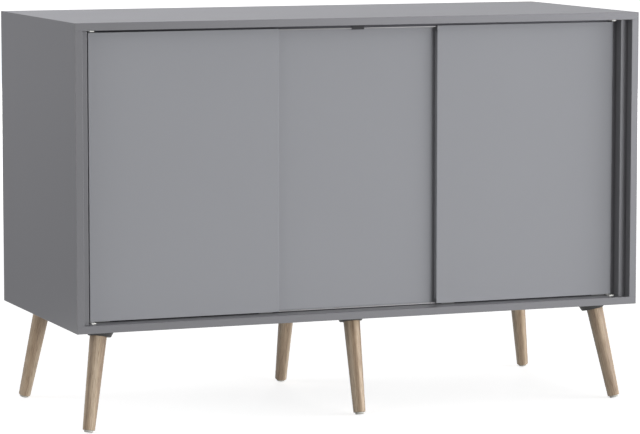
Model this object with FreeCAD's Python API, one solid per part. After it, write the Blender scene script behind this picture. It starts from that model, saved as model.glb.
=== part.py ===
import FreeCAD, Part
import math
import os

# Low sideboard: a lacquered board carcass on six splayed, turned legs, closed by three doors that slide
# on T-shaped aluminium rails. The outer doors share the front rails, the middle door has the rear rails.
# Millimetres. X runs left to right, Y from the front to the back, Z up. The origin lies on the floor
# under the centre of the carcass.

Vector = FreeCAD.Vector
TINY = 1e-6
SAME_PLANE = 10 * TINY     # edges closer than this to a plane lie in it
PARALLEL = 0.9             # an edge's direction along an axis, at least, to count as parallel

# ------------------------------------------------------------------ carcass boards
WIDTH = 1200.0
DEPTH = 517.0
CARCASS_HEIGHT = 600.0
BOARD = 15.0
BOARD_ROUND = 0.6          # broken edges that a hand can reach

# ------------------------------------------------------------------ battens beside the doors
STILE_THICK = 15.0         # batten glued inside each side panel
STILE_SETBACK = 20.0       # from the front edges of the carcass
STRIP_THICK = 7.5          # closing strip that the outer doors meet
STRIP_SETBACK = 42.0
STRIP_COVER = 1.6          # closing strip reaches this far behind the rear door

# ------------------------------------------------------------------ doors
DOOR_THICK = 12.0
DOOR_SETBACK = 40.0        # from the front edges of the carcass to the outer doors' faces
DOOR_PLAY = 2.4            # between the back of an outer door and the face of the middle door
DOOR_OVERLAP = 26.0        # outer doors over the middle door, when closed
DOOR_END_GAP = 0.9         # closed outer door to its closing strip
DOOR_FOOT_GAP = 2.0        # above the bottom board
DOOR_HEAD_GAP = 6.0        # below the top board
DOOR_ROUND = 1.0
DIVIDER_GAP = 5.6          # behind the middle door

# ------------------------------------------------------------------ rails
WEB = 1.6                  # upright of the T
KERF_DEPTH = 5.0           # how deep the web is let into a board
CROWN_WIDTH = 3.0
CROWN_HEIGHT = 2.0
CROWN_ROUND = 0.5
LOWER_HEIGHT = 3.5         # lower rail above the bottom board, with its crown
UPPER_HEIGHT = 9.4         # upper rail below the top board, with its crown
RAIL_END_GAP = 0.3         # rail end to its end plate

# ------------------------------------------------------------------ grooves, glides and guides in the doors
GROOVE_WIDTH = 6.0
FOOT_GROOVE = 10.0
HEAD_GROOVE = 12.0
SHOE_LENGTH = 30.0         # length of a glide or guide
SHOE_INSET = 12.0          # from the door's vertical edge
SHOE_CHAMFER = 1.2
RUN_FIT = 0.1              # each side of the crown in its slot
REST_FIT = 0.05            # crown top to the glide that stands on it
GLIDE_LIFT = 0.6           # glide above the bottom board
GUIDE_FLOOR = 2.5          # material under the slot of the head guide

# ------------------------------------------------------------------ stop in the upper front rail
STOP_LENGTH = 26.0
STOP_WIDTH = 5.0
STOP_FLOOR = 1.5           # material under the crown

# ------------------------------------------------------------------ white plates at the rail ends
PLATE_LENGTH = 9.0
PLATE_SETBACK = 27.0       # from the front edges of the carcass
PLATE_STRIP_GAP = 0.5      # to the closing strip
LOWER_PLATE = 1.6
UPPER_PLATE = 4.0
PLATE_ROUND = 0.5
PLATE_SCREW_INSET = 6.5
PLATE_SCREW_LENGTH = 12.0
PLATE_SCREW_RADIUS = 1.4
PLATE_SCREW_HEAD = 2.8
PLATE_SCREW_CONE = 1.4

# ------------------------------------------------------------------ dividers, back and shelves
DIVIDER_X = 183.0          # centre plane of each divider from the middle of the carcass
BACK_THICK = 3.0
BACK_RECESS = 1.0          # back panels lie this deep in their rebate
REBATE_WIDTH = 8.0
BACK_FIT = 0.5             # round each back panel
SHELF_SETBACK = 8.0        # behind the dividers' front edges
SHELF_SIDE_FIT = 1.0
SHELF_BACK_FIT = 1.0
SHELF_HEIGHT = 300.0       # shelf top above the bottom board
PIN_RADIUS = 2.5
PIN_REACH = 10.0           # pin under the shelf
PIN_WALL = 1.0             # left between two pin holes that meet in a divider
PIN_INSET = 50.0           # pin from the shelf's front and back edges
NAIL_RADIUS = 0.7
NAIL_LENGTH = 15.0
NAIL_HEAD = 1.6
NAIL_HEAD_THICK = 0.8
NAIL_CORNER = 40.0         # nail from the end of a back panel's edge

# ------------------------------------------------------------------ dowels and cam fittings
CAM_FRONT = 110.0          # fitting from the front edges of the carcass
CAM_REAR = 77.0            # fitting from the back edges
DOWEL_STEP = 32.0          # dowel from the fitting, towards the middle
DOWEL_RADIUS = 4.0
DOWEL_LENGTH = 29.0
DOWEL_IN_BOARD = 10.5
DOWEL_CHAMFER = 1.0
HOLE_FIT = 0.05            # radial, round every fastener
HOLE_END = 0.5             # past the end of every fastener
CAM_RADIUS = 7.5
CAM_THICK = 12.0
CAM_REACH = 34.0           # centre of the disc from the end of the panel
CAM_SLOT = 1.4
CAM_SLOT_LENGTH = 10.5
CAM_SLOT_DEPTH = 2.0
BOLT_THREAD_RADIUS = 2.5
BOLT_THREAD_LENGTH = 11.0
BOLT_SHANK_RADIUS = 3.4
BOLT_NECK_RADIUS = 1.8
BOLT_HEAD_RADIUS = 3.2
BOLT_HEAD_LENGTH = 3.4
BOLT_NECK_LENGTH = 4.6
BOLT_POCKET_FIT = 0.2

# ------------------------------------------------------------------ legs
LEG_HEIGHT = 200.0         # floor to the underside of the carcass
LEG_TILT = 13.5            # degrees from upright
LEG_INSET_X = 65.0         # corner leg's axis at the underside, from the end of the carcass
LEG_INSET_Y = 67.0         # corner leg's axis at the underside, from the front or back
MIDDLE_LEG_INSET = 80.0    # middle leg's axis at the underside, from the front or back
LEG_TOP_RADIUS = 16.9
LEG_FOOT_RADIUS = 12.3
LEG_TOP_ROUND = 0.8
LEG_FOOT_ROUND = 1.2
WEDGE_AXIAL = 15.4         # wedge disc along the leg's axis
WEDGE_RADIUS = 22.8        # at its slanted face
WEDGE_INSET = 4.5          # disc's centre beside the leg's axis, away from the way it leans
WEDGE_DRAFT = 22.0         # degrees
WEDGE_ROUND = 2.0
HANGER_RADIUS = 4.0
HANGER_IN_LEG = 30.0
HANGER_TOP_GAP = 3.0       # end of the bolt below the underside, along the axis
WEDGE_SCREW_CIRCLE = 11.0
WEDGE_SCREW_SEAT = 8.0     # level seat of the screw heads below the underside
WEDGE_SCREW_BITE = 9.0     # screw in the bottom board
WEDGE_SCREW_RADIUS = 2.0
WEDGE_SCREW_HEAD = 3.9
WEDGE_SCREW_HEAD_THICK = 2.2
WEDGE_SCREW_COUNT = 3
FOOT_RADIUS = 9.0
FOOT_THICK = 4.0
FOOT_ROUND = 1.5
FOOT_PIN_RADIUS = 2.5
FOOT_PIN_LENGTH = 12.0

# ------------------------------------------------------------------ places that follow from the sizes
LEFT = -WIDTH / 2
RIGHT = WIDTH / 2
FRONT = -DEPTH / 2
REAR = DEPTH / 2
UNDERSIDE = LEG_HEIGHT
DECK = UNDERSIDE + BOARD
TOP = UNDERSIDE + CARCASS_HEIGHT
CEILING = TOP - BOARD

OUTER_FACE = FRONT + DOOR_SETBACK
INNER_FACE = OUTER_FACE + DOOR_THICK + DOOR_PLAY
OUTER_RAIL_Y = OUTER_FACE + DOOR_THICK / 2
INNER_RAIL_Y = INNER_FACE + DOOR_THICK / 2
DIVIDER_FRONT = INNER_FACE + DOOR_THICK + DIVIDER_GAP
STRIP_REAR = INNER_FACE + DOOR_THICK + STRIP_COVER
BACK_FACE = REAR - BACK_RECESS
BACK_FRONT = BACK_FACE - BACK_THICK

STRIP_EDGE = WIDTH / 2 - BOARD - STILE_THICK - STRIP_THICK
DOOR_EDGE = STRIP_EDGE - DOOR_END_GAP
DOOR_WIDTH = (2 * DOOR_EDGE + 2 * DOOR_OVERLAP) / 3
DOOR_FOOT = DECK + DOOR_FOOT_GAP
DOOR_HEAD = CEILING - DOOR_HEAD_GAP
PLATE_EDGE = STRIP_EDGE - PLATE_STRIP_GAP
RAIL_EDGE = PLATE_EDGE - PLATE_LENGTH - RAIL_END_GAP
LOWER_CROWN = DECK + LOWER_HEIGHT
UPPER_CROWN = CEILING - UPPER_HEIGHT

TILT = math.radians(LEG_TILT)
FOOT_REACH = (
    (LEG_HEIGHT - FOOT_ROUND - (FOOT_RADIUS - FOOT_ROUND) * math.sin(TILT)) / math.cos(TILT) + FOOT_ROUND
)
LEG_END = FOOT_REACH - FOOT_THICK

CAM_ROWS = (FRONT + CAM_FRONT, REAR - CAM_REAR)
DOWEL_ROWS = (FRONT + CAM_FRONT + DOWEL_STEP, REAR - CAM_REAR - DOWEL_STEP)
CORNERS = {
    "front_left": (-1, -1),
    "front_middle": (0, -1),
    "front_right": (1, -1),
    "rear_left": (-1, 1),
    "rear_middle": (0, 1),
    "rear_right": (1, 1),
}

# Each upright panel: name, middle plane, and the side on which its cam discs lie.
UPRIGHTS = (
    ("side_left", LEFT + BOARD / 2, 1),
    ("divider_left", -DIVIDER_X, 1),
    ("divider_right", DIVIDER_X, -1),
    ("side_right", RIGHT - BOARD / 2, -1),
)

# Each compartment: name, left and right wall.
BAYS = (
    ("left", LEFT + BOARD, -DIVIDER_X - BOARD / 2),
    ("centre", -DIVIDER_X + BOARD / 2, DIVIDER_X - BOARD / 2),
    ("right", DIVIDER_X + BOARD / 2, RIGHT - BOARD),
)


# ------------------------------------------------------------------ small tools
def block(x0, x1, y0, y1, z0, z1):
    """A box given by its six planes."""
    return Part.makeBox(x1 - x0, y1 - y0, z1 - z0, Vector(x0, y0, z0))


def rod(radius, start, direction, length):
    """A round bar from a point along a direction."""
    return Part.makeCylinder(radius, length, start, direction)


def turned(outline):
    """A solid turned about the local Z axis from (radius, height) corners."""
    corners = [Vector(radius, 0, height) for radius, height in outline]
    face = Part.Face(Part.makePolygon(corners + corners[:1]))
    return face.revolve(Vector(0, 0, 0), Vector(0, 0, 1), 360)


def place(shape, point, direction):
    """A local shape moved to a point, with its Z axis turned to a direction."""
    moved = shape.copy()
    moved.Placement = FreeCAD.Placement(point, FreeCAD.Rotation(Vector(0, 0, 1), direction))
    return moved


def lies_in(edge, axis, value):
    """Whether an edge lies in the plane where the axis has this value."""
    box = edge.BoundBox
    low = (box.XMin, box.YMin, box.ZMin)[axis]
    high = (box.XMax, box.YMax, box.ZMax)[axis]
    return abs(low - value) < SAME_PLANE and abs(high - value) < SAME_PLANE


def rounded(shape, radius, planes):
    """The shape with the edges in the given (axis, value) planes rounded."""
    edges = [edge for edge in shape.Edges if any(lies_in(edge, axis, value) for axis, value in planes)]
    return shape.makeFillet(radius, edges)


def group(shapes):
    """Several loose solids as one node."""
    return Part.makeCompound(shapes)


def write(node, shape):
    """One STEP file per node."""
    shape.exportStep("parts/" + node + ".step")


# ------------------------------------------------------------------ rails
def rail(y, board_face, reach, up):
    """A T rail along X: the web stands in the board, the crown lies at the reach from its face."""
    crown_face = board_face + up * reach
    crown_root = crown_face - up * CROWN_HEIGHT
    web_root = board_face - up * KERF_DEPTH
    half_web = WEB / 2
    half_crown = CROWN_WIDTH / 2
    outline = (
        (-half_web, web_root),
        (-half_web, crown_root),
        (-half_crown, crown_root),
        (-half_crown, crown_face),
        (half_crown, crown_face),
        (half_crown, crown_root),
        (half_web, crown_root),
        (half_web, web_root),
    )
    corners = [Vector(-RAIL_EDGE, y + across, height) for across, height in outline]
    bar = Part.Face(Part.makePolygon(corners + corners[:1])).extrude(Vector(2 * RAIL_EDGE, 0, 0))
    long_edges = [
        edge for edge in bar.Edges if lies_in(edge, 2, crown_face) and edge.Length > CROWN_WIDTH + TINY
    ]
    return bar.makeFillet(CROWN_ROUND, long_edges)


def kerf(y, board_face, up):
    """The saw cut that the web of a rail stands in."""
    root = board_face - up * KERF_DEPTH
    half_web = WEB / 2
    low = min(root, board_face)
    high = max(root, board_face)
    return block(-RAIL_EDGE, RAIL_EDGE, y - half_web, y + half_web, low, high)


# ------------------------------------------------------------------ fasteners of the carcass
def dowel():
    """A dowel along local Z, with the joint at height 0."""
    low = -DOWEL_IN_BOARD
    high = low + DOWEL_LENGTH
    inner = DOWEL_RADIUS - DOWEL_CHAMFER
    return turned((
        (0, low),
        (inner, low),
        (DOWEL_RADIUS, low + DOWEL_CHAMFER),
        (DOWEL_RADIUS, high - DOWEL_CHAMFER),
        (inner, high),
        (0, high),
    ))


def dowel_hole():
    """The room for a dowel, in both pieces."""
    low = -DOWEL_IN_BOARD - HOLE_END
    high = DOWEL_LENGTH - DOWEL_IN_BOARD + HOLE_END
    return rod(DOWEL_RADIUS + HOLE_FIT, Vector(0, 0, low), Vector(0, 0, 1), high - low)


def cam_bolt():
    """A cam bolt along local Z: thread in the board, head in the middle of the disc."""
    neck = CAM_REACH - BOLT_HEAD_LENGTH - BOLT_NECK_LENGTH
    head = CAM_REACH - BOLT_HEAD_LENGTH
    return turned((
        (0, -BOLT_THREAD_LENGTH),
        (BOLT_THREAD_RADIUS, -BOLT_THREAD_LENGTH),
        (BOLT_THREAD_RADIUS, 0),
        (BOLT_SHANK_RADIUS, 0),
        (BOLT_SHANK_RADIUS, neck),
        (BOLT_NECK_RADIUS, neck),
        (BOLT_NECK_RADIUS, head),
        (BOLT_HEAD_RADIUS, head),
        (BOLT_HEAD_RADIUS, CAM_REACH),
        (0, CAM_REACH),
    ))


def cam_bolt_hole():
    """The room for a cam bolt, in both pieces."""
    thread = rod(
        BOLT_THREAD_RADIUS + HOLE_FIT,
        Vector(0, 0, -BOLT_THREAD_LENGTH - HOLE_END),
        Vector(0, 0, 1),
        BOLT_THREAD_LENGTH + HOLE_END,
    )
    shank = rod(BOLT_SHANK_RADIUS + HOLE_FIT, Vector(0, 0, 0), Vector(0, 0, 1), CAM_REACH)
    return thread.fuse(shank)


def cam_disc():
    """A cam disc in bolt coordinates: its axis is local X, its face lies in the plane x = 0."""
    middle = Vector(0, 0, CAM_REACH)
    disc = rod(CAM_RADIUS, middle, Vector(1, 0, 0), CAM_THICK)
    bolt_line = BOARD / 2
    neck_start = CAM_REACH - CAM_RADIUS - BOLT_POCKET_FIT
    neck = rod(
        BOLT_NECK_RADIUS + BOLT_POCKET_FIT,
        Vector(bolt_line, 0, neck_start),
        Vector(0, 0, 1),
        CAM_REACH - BOLT_HEAD_LENGTH - neck_start,
    )
    pocket = rod(
        BOLT_HEAD_RADIUS + BOLT_POCKET_FIT,
        Vector(bolt_line, 0, CAM_REACH - BOLT_HEAD_LENGTH - BOLT_POCKET_FIT / 2),
        Vector(0, 0, 1),
        BOLT_HEAD_LENGTH + BOLT_POCKET_FIT,
    )
    slot = block(
        0,
        CAM_SLOT_DEPTH,
        -CAM_SLOT_LENGTH / 2,
        CAM_SLOT_LENGTH / 2,
        CAM_REACH - CAM_SLOT / 2,
        CAM_REACH + CAM_SLOT / 2,
    )
    return disc.cut([neck, pocket, slot])


def cam_disc_hole():
    """The room for a cam disc, open at the panel's face."""
    return rod(
        CAM_RADIUS + HOLE_FIT,
        Vector(0, 0, CAM_REACH),
        Vector(1, 0, 0),
        CAM_THICK + HOLE_END,
    )


def upright_joints(x, disc_side):
    """The fasteners of one upright panel and the holes that they need."""
    made = {"dowels": [], "cam_bolts": [], "cam_discs": []}
    holes = []
    face = x + disc_side * BOARD / 2
    for joint, up in ((DECK, 1), (CEILING, -1)):
        inward = Vector(0, 0, up)
        for y in DOWEL_ROWS:
            made["dowels"].append(place(dowel(), Vector(x, y, joint), inward))
            holes.append(place(dowel_hole(), Vector(x, y, joint), inward))
        for y in CAM_ROWS:
            made["cam_bolts"].append(place(cam_bolt(), Vector(x, y, joint), inward))
            holes.append(place(cam_bolt_hole(), Vector(x, y, joint), inward))
            made["cam_discs"].append(disc_at(cam_disc(), face, y, joint, up, disc_side))
            holes.append(disc_at(cam_disc_hole(), face, y, joint, up, disc_side))
    return made, holes


def disc_at(shape, face, y, joint, up, disc_side):
    """A disc shape from bolt coordinates to its place in a panel."""
    moved = shape.copy()
    if disc_side > 0:
        moved = moved.mirror(Vector(0, 0, 0), Vector(1, 0, 0))
    if up < 0:
        moved = moved.mirror(Vector(0, 0, 0), Vector(0, 0, 1))
    moved.translate(Vector(face, y, joint))
    return moved


# ------------------------------------------------------------------ carcass
def carcass():
    """Boards, uprights, battens, back, shelves and everything that fastens them."""
    made = {"dowels": [], "cam_bolts": [], "cam_discs": []}
    board_cuts = [
        kerf(OUTER_RAIL_Y, DECK, 1),
        kerf(INNER_RAIL_Y, DECK, 1),
        kerf(OUTER_RAIL_Y, CEILING, -1),
        kerf(INNER_RAIL_Y, CEILING, -1),
    ]
    rebate_low = UNDERSIDE + BOARD - REBATE_WIDTH
    rebate_high = CEILING + REBATE_WIDTH
    rebate_left = LEFT + BOARD - REBATE_WIDTH
    rebate = block(rebate_left, -rebate_left, BACK_FRONT, REAR + BOARD, rebate_low, rebate_high)

    pin_holes, pins = shelf_pins()
    nail_holes, nails = back_nails()
    plates, plate_screws, plate_holes = rail_ends()
    wedge_holes = [screw_hole for corner in CORNERS for screw_hole in wedge_screws(corner)[1]]

    for name, x, disc_side in UPRIGHTS:
        fittings, holes = upright_joints(x, disc_side)
        for kind, solids in fittings.items():
            made[kind] += solids
        board_cuts += holes
        if name.startswith("side"):
            panel = block(x - BOARD / 2, x + BOARD / 2, FRONT, REAR, DECK, CEILING)
            panel = rounded_uprights(panel, FRONT)
        else:
            panel = block(x - BOARD / 2, x + BOARD / 2, DIVIDER_FRONT, BACK_FRONT, DECK, CEILING)
            panel = rounded_uprights(panel, DIVIDER_FRONT)
        write(name, panel.cut([rebate] + holes + pin_holes + nail_holes))

    cuts = board_cuts + [rebate] + nail_holes + plate_holes + wedge_holes
    bottom = block(LEFT, RIGHT, FRONT, REAR, UNDERSIDE, DECK)
    bottom = rounded(bottom, BOARD_ROUND, ((1, FRONT), (2, UNDERSIDE)))
    write("bottom_board", bottom.cut(cuts))
    top = block(LEFT, RIGHT, FRONT, REAR, CEILING, TOP)
    top = rounded(top, BOARD_ROUND, ((1, FRONT), (2, TOP)))
    write("top_board", top.cut(cuts))

    for side, name in ((-1, "left"), (1, "right")):
        batten(side, name)
    shelves()
    back_panels(nail_holes)
    for kind, solids in made.items():
        write(kind, group(solids))
    write("shelf_pins", group(pins))
    write("back_nails", group(nails))
    for name, solids in plates.items():
        write(name, group(solids))
    write("end_plate_screws", group(plate_screws))


def rounded_uprights(panel, face):
    """A panel with its two upright front edges broken."""
    edges = [edge for edge in panel.Edges if lies_in(edge, 1, face) and abs(edge.tangentAt(0).z) > PARALLEL]
    return panel.makeFillet(BOARD_ROUND, edges)


def batten(side, name):
    """The stile inside a side panel and the closing strip on it."""
    outer = side * (WIDTH / 2 - BOARD)
    middle = side * (WIDTH / 2 - BOARD - STILE_THICK)
    inner = side * STRIP_EDGE
    low, high = sorted((outer, middle))
    stile = block(low, high, FRONT + STILE_SETBACK, DIVIDER_FRONT, DECK, CEILING)
    write("stile_" + name, rounded_uprights(stile, FRONT + STILE_SETBACK))
    low, high = sorted((middle, inner))
    strip = block(low, high, FRONT + STRIP_SETBACK, STRIP_REAR, DECK, CEILING)
    write("closing_strip_" + name, rounded_uprights(strip, FRONT + STRIP_SETBACK))


def shelves():
    """One shelf in each compartment, laid on four pins."""
    for name, low, high in BAYS:
        shelf = block(
            low + SHELF_SIDE_FIT,
            high - SHELF_SIDE_FIT,
            DIVIDER_FRONT + SHELF_SETBACK,
            BACK_FRONT - SHELF_BACK_FIT,
            DECK + SHELF_HEIGHT - BOARD,
            DECK + SHELF_HEIGHT,
        )
        write("shelf_" + name, rounded(shelf, BOARD_ROUND, ((1, DIVIDER_FRONT + SHELF_SETBACK),)))


def shelf_pins():
    """The pins under the shelves and their blind holes in the uprights."""
    depth = (BOARD - PIN_WALL) / 2
    height = DECK + SHELF_HEIGHT - BOARD - PIN_RADIUS
    rows = (DIVIDER_FRONT + SHELF_SETBACK + PIN_INSET, BACK_FRONT - SHELF_BACK_FIT - PIN_INSET)
    holes = []
    pins = []
    for _, low, high in BAYS:
        for wall, inward in ((low, 1), (high, -1)):
            into_bay = Vector(inward, 0, 0)
            for y in rows:
                hole_end = Vector(wall - inward * depth, y, height)
                pin_end = Vector(wall - inward * (depth - HOLE_FIT), y, height)
                holes.append(rod(PIN_RADIUS + HOLE_FIT, hole_end, into_bay, depth))
                pins.append(rod(PIN_RADIUS, pin_end, into_bay, depth - HOLE_FIT + PIN_REACH))
    return holes, pins


def back_edges(index):
    """Left and right edge of a back panel: they part on the middle planes of the dividers."""
    edge = WIDTH / 2 - BOARD + REBATE_WIDTH
    joints = (-edge, -DIVIDER_X, DIVIDER_X, edge)
    return joints[index] + BACK_FIT, joints[index + 1] - BACK_FIT


def back_panels(nail_holes):
    """Three thin panels in the rebate at the back of the carcass."""
    for index, (name, _, _) in enumerate(BAYS):
        low, high = back_edges(index)
        panel = block(
            low,
            high,
            BACK_FRONT,
            BACK_FACE,
            DECK - REBATE_WIDTH + BACK_FIT,
            CEILING + REBATE_WIDTH - BACK_FIT,
        )
        write("back_" + name, panel.cut(nail_holes))


def back_nails():
    """Nails through the edges of the back panels into the carcass, with their holes."""
    nail = turned((
        (0, -NAIL_LENGTH),
        (NAIL_RADIUS, -NAIL_LENGTH),
        (NAIL_RADIUS, 0),
        (NAIL_HEAD, 0),
        (NAIL_HEAD, NAIL_HEAD_THICK),
        (0, NAIL_HEAD_THICK),
    ))
    hole = rod(NAIL_RADIUS, Vector(0, 0, -NAIL_LENGTH), Vector(0, 0, 1), NAIL_LENGTH)
    holes = []
    nails = []
    edge = (REBATE_WIDTH - BACK_FIT) / 2
    low_row = DECK - edge
    high_row = CEILING + edge
    for index in range(len(BAYS)):
        low, high = back_edges(index)
        places = [
            (x, z) for x in (low + NAIL_CORNER, (low + high) / 2, high - NAIL_CORNER) for z in (low_row, high_row)
        ]
        places += [(x, (DECK + CEILING) / 2) for x in (low + edge, high - edge)]
        for x, z in places:
            point = Vector(x, BACK_FACE, z)
            nails.append(place(nail, point, Vector(0, 1, 0)))
            holes.append(place(hole, point, Vector(0, 1, 0)))
    return holes, nails


def rail_ends():
    """White plates at both ends of the rails, their screws and the holes for these."""
    screw_tip = PLATE_SCREW_CONE - PLATE_SCREW_LENGTH
    screw = turned((
        (0, screw_tip),
        (PLATE_SCREW_RADIUS, screw_tip),
        (PLATE_SCREW_RADIUS, -PLATE_SCREW_CONE),
        (PLATE_SCREW_HEAD, 0),
        (0, 0),
    ))
    plates = {"lower_rail_end_plates": [], "upper_rail_end_plates": []}
    screws = []
    holes = []
    y_screw = FRONT + PLATE_SETBACK + PLATE_SCREW_INSET
    for name, face, thick, up in (
        ("lower_rail_end_plates", DECK, LOWER_PLATE, 1),
        ("upper_rail_end_plates", CEILING, UPPER_PLATE, -1),
    ):
        outer_face = face + up * thick
        z_low, z_high = sorted((face, outer_face))
        for side in (-1, 1):
            x_low, x_high = sorted((side * PLATE_EDGE, side * (PLATE_EDGE - PLATE_LENGTH)))
            plate = block(x_low, x_high, FRONT + PLATE_SETBACK, STRIP_REAR, z_low, z_high)
            plate = rounded(plate, PLATE_ROUND, ((2, outer_face),))
            point = Vector((x_low + x_high) / 2, y_screw, outer_face)
            placed = place(screw, point, Vector(0, 0, up))
            plates[name].append(plate.cut(placed))
            screws.append(placed)
            holes.append(placed)
    return plates, screws, holes


# ------------------------------------------------------------------ doors
def shoe_places(left):
    """Where the two glides or guides of a door start."""
    return left + SHOE_INSET, left + DOOR_WIDTH - SHOE_INSET - SHOE_LENGTH


def door(name, left, face):
    """A door with a groove in its foot and head, its glides and its guides."""
    rear = face + DOOR_THICK
    middle = face + DOOR_THICK / 2
    groove_low = middle - GROOVE_WIDTH / 2
    groove_high = middle + GROOVE_WIDTH / 2
    leaf = block(left, left + DOOR_WIDTH, face, rear, DOOR_FOOT, DOOR_HEAD)
    leaf = leaf.makeFillet(DOOR_ROUND, leaf.Edges)
    past = DOOR_ROUND
    foot = block(
        left - past,
        left + DOOR_WIDTH + past,
        groove_low,
        groove_high,
        DOOR_FOOT - past,
        DOOR_FOOT + FOOT_GROOVE,
    )
    head = block(
        left - past,
        left + DOOR_WIDTH + past,
        groove_low,
        groove_high,
        DOOR_HEAD - HEAD_GROOVE,
        DOOR_HEAD + past,
    )
    write(name, leaf.cut([foot, head]))
    write(name + "_glides", group([glide(x, middle) for x in shoe_places(left)]))
    write(name + "_guides", group([guide(x, middle) for x in shoe_places(left)]))


def glide(x, y):
    """A nylon shoe that fills the foot groove and stands on the lower crown."""
    half = GROOVE_WIDTH / 2
    slot = CROWN_WIDTH / 2 + RUN_FIT
    low = DECK + GLIDE_LIFT
    body = block(x, x + SHOE_LENGTH, y - half, y + half, low, DOOR_FOOT + FOOT_GROOVE)
    ends = [edge for edge in body.Edges if lies_in(edge, 2, low) and abs(edge.tangentAt(0).y) > PARALLEL]
    body = body.makeChamfer(SHOE_CHAMFER, ends)
    channel = block(x, x + SHOE_LENGTH, y - slot, y + slot, low, LOWER_CROWN + REST_FIT)
    return body.cut(channel)


def guide(x, y):
    """A nylon shoe in the head groove that runs along the upper crown."""
    half = GROOVE_WIDTH / 2
    slot = CROWN_WIDTH / 2 + RUN_FIT
    floor = DOOR_HEAD - HEAD_GROOVE
    body = block(x, x + SHOE_LENGTH, y - half, y + half, floor, DOOR_HEAD)
    channel = block(x, x + SHOE_LENGTH, y - slot, y + slot, floor + GUIDE_FLOOR, DOOR_HEAD)
    return body.cut(channel)


def centre_stop():
    """A nylon block clipped on the upper front rail: both outer doors stop at it."""
    half = STOP_WIDTH / 2
    body = block(
        -STOP_LENGTH / 2,
        STOP_LENGTH / 2,
        OUTER_RAIL_Y - half,
        OUTER_RAIL_Y + half,
        UPPER_CROWN - STOP_FLOOR,
        CEILING,
    )
    return body.cut(rail(OUTER_RAIL_Y, CEILING, UPPER_HEIGHT, -1))


# ------------------------------------------------------------------ legs
def leg_axis(corner):
    """The point at the underside and the direction of a leg's axis, and the way it leans."""
    side, end = CORNERS[corner]
    inset = LEG_INSET_Y if side else MIDDLE_LEG_INSET
    point = Vector(side * (WIDTH / 2 - LEG_INSET_X), end * (DEPTH / 2 - inset), UNDERSIDE)
    lean = Vector(side, end, 0).normalize()
    direction = lean * math.sin(TILT) - Vector(0, 0, math.cos(TILT))
    return point, direction, lean


def leg():
    """A turned leg along local Z, which runs down from the underside."""
    body = turned((
        (0, WEDGE_AXIAL),
        (LEG_TOP_RADIUS, WEDGE_AXIAL),
        (LEG_FOOT_RADIUS, LEG_END),
        (0, LEG_END),
    ))
    body = rounded(body, LEG_TOP_ROUND, ((2, WEDGE_AXIAL),))
    body = rounded(body, LEG_FOOT_ROUND, ((2, LEG_END),))
    down = Vector(0, 0, 1)
    bolt_bore = rod(HANGER_RADIUS + HOLE_FIT, Vector(0, 0, WEDGE_AXIAL), down, HANGER_IN_LEG + HOLE_END)
    pin_bore = rod(
        FOOT_PIN_RADIUS + HOLE_FIT,
        Vector(0, 0, LEG_END - FOOT_PIN_LENGTH - HOLE_END),
        down,
        FOOT_PIN_LENGTH + HOLE_END,
    )
    return body.cut([bolt_bore, pin_bore])


def foot_glide():
    """A moulded glide under the leg, pressed in with its pin."""
    pin_end = LEG_END - FOOT_PIN_LENGTH
    body = turned((
        (0, pin_end),
        (FOOT_PIN_RADIUS, pin_end),
        (FOOT_PIN_RADIUS, LEG_END),
        (FOOT_RADIUS, LEG_END),
        (FOOT_RADIUS, FOOT_REACH),
        (0, FOOT_REACH),
    ))
    return rounded(body, FOOT_ROUND, ((2, FOOT_REACH),))


def hanger_bolt():
    """The bolt that holds a leg to its wedge disc."""
    length = WEDGE_AXIAL + HANGER_IN_LEG - HANGER_TOP_GAP
    return rod(HANGER_RADIUS, Vector(0, 0, HANGER_TOP_GAP), Vector(0, 0, 1), length)


def wedge_screws(corner):
    """The upright screws through a wedge disc: solids, board holes and disc cuts."""
    point, _, lean = leg_axis(corner)
    middle = point + lean * (WEDGE_AXIAL * math.sin(TILT))
    across = Vector(-lean.y, lean.x, 0)
    head_low = -WEDGE_SCREW_SEAT - WEDGE_SCREW_HEAD_THICK
    outline = (
        (0, WEDGE_SCREW_BITE),
        (WEDGE_SCREW_RADIUS, WEDGE_SCREW_BITE),
        (WEDGE_SCREW_RADIUS, -WEDGE_SCREW_SEAT),
        (WEDGE_SCREW_HEAD, -WEDGE_SCREW_SEAT),
        (WEDGE_SCREW_HEAD, head_low),
        (0, head_low),
    )
    up = Vector(0, 0, 1)
    screws = []
    board_holes = []
    disc_cuts = []
    for number in range(WEDGE_SCREW_COUNT):
        angle = math.pi + number * 2 * math.pi / WEDGE_SCREW_COUNT
        offset = lean * math.cos(angle) + across * math.sin(angle)
        base = middle + offset * WEDGE_SCREW_CIRCLE
        screws.append(place(turned(outline), base, up))
        radius = WEDGE_SCREW_RADIUS + HOLE_FIT
        board_holes.append(rod(radius, base, up, WEDGE_SCREW_BITE + HOLE_END))
        disc_cuts.append(rod(radius, base - up * WEDGE_SCREW_SEAT, up, WEDGE_SCREW_SEAT))
        well = WEDGE_SCREW_HEAD + HOLE_FIT
        depth = 2 * WEDGE_AXIAL
        disc_cuts.append(rod(well, base - up * (WEDGE_SCREW_SEAT + depth), up, depth))
    return screws, board_holes, disc_cuts


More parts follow.
